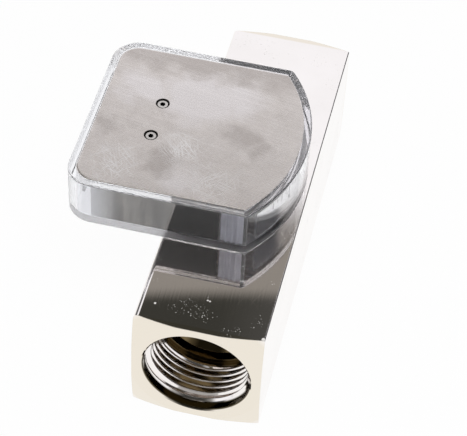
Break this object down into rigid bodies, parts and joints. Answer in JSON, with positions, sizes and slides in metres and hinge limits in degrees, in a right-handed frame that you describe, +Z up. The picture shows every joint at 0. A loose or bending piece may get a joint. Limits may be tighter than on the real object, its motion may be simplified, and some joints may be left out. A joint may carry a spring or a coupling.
{
  "type": "variable area flow meter",
  "caption": "Inline flow meter: nickel-plated square bar with female pipe threads, sprung piston inside, and a D-shaped clear case with a steel cover over a magnet-turned pointer.",
  "frame": {"origin": "centre of the flat base face of the square bar", "axes": "+Z up from the base face to the indicator case, +Y along the bar towards the inlet port, +X away from the side on which the case overhangs the bar"},
  "size_m": [0.0714, 0.134, 0.0564],
  "materials": {
    "nickel_plate": "bright nickel plating over milled brass, fine scratches",
    "turned_brass": "turned brass with fine lathe lines",
    "seal_rubber": "smooth black nitrile",
    "spring_steel": "drawn stainless spring wire",
    "screw_steel": "bright stainless steel",
    "magnet_ferrite": "matt dark grey pressed ferrite",
    "bush_plastic": "white low-friction plastic",
    "clear_plastic": "polished clear plastic",
    "post_plastic": "milky natural plastic with moulded ribs",
    "band_steel": "bright rolled stainless strip",
    "jewel_stone": "polished red bearing stone",
    "plate_steel": "brushed stainless sheet with faint stains and scratches",
    "pointer_paint": "matt black painted strip"
  },
  "bodies": {
    "meter_frame": {"meter_body": "nickel_plate", "outlet_spider": "turned_brass", "metering_sleeve": "turned_brass", "sleeve_seal": "seal_rubber", "inlet_spider": "turned_brass", "retaining_ring": "spring_steel", "guide_rod": "screw_steel", "return_spring": "spring_steel", "indicator_case": "clear_plastic", "case_screws": "screw_steel", "scale_band": "band_steel", "boss_inserts": "turned_brass", "lower_jewel": "jewel_stone", "bearing_bridge": "turned_brass", "upper_jewel": "jewel_stone", "cover_spacers": "turned_brass", "corner_posts": "post_plastic", "cover_plate": "plate_steel", "cover_screws": "screw_steel"},
    "piston_group": {"piston": "turned_brass", "piston_magnet": "magnet_ferrite", "magnet_nut": "turned_brass", "piston_bushes": "bush_plastic"},
    "pointer_group": {"pointer_arbor": "screw_steel", "pointer_arm": "pointer_paint", "follower_magnet": "magnet_ferrite", "balance_weight": "turned_brass"}
  },
  "joints": [
    {"name": "piston_slide", "type": "slide", "parent": "meter_frame", "child": "piston_group", "axis": [0, -1, 0], "range_m": [0, 0.03], "stiffness_N_per_m": 80, "springref_m": -0.01, "deforming": ["return_spring"]},
    {"name": "pointer_swing", "type": "hinge", "parent": "meter_frame", "child": "pointer_group", "pos_m": [-0.034, 0, 0.047], "axis": [0, 0, -1], "range_deg": [0, 50.6]}
  ],
  "couplings": [
    {"joint": "pointer_swing", "follows": "piston_slide", "rad_per_m": 29.412}
  ]
}
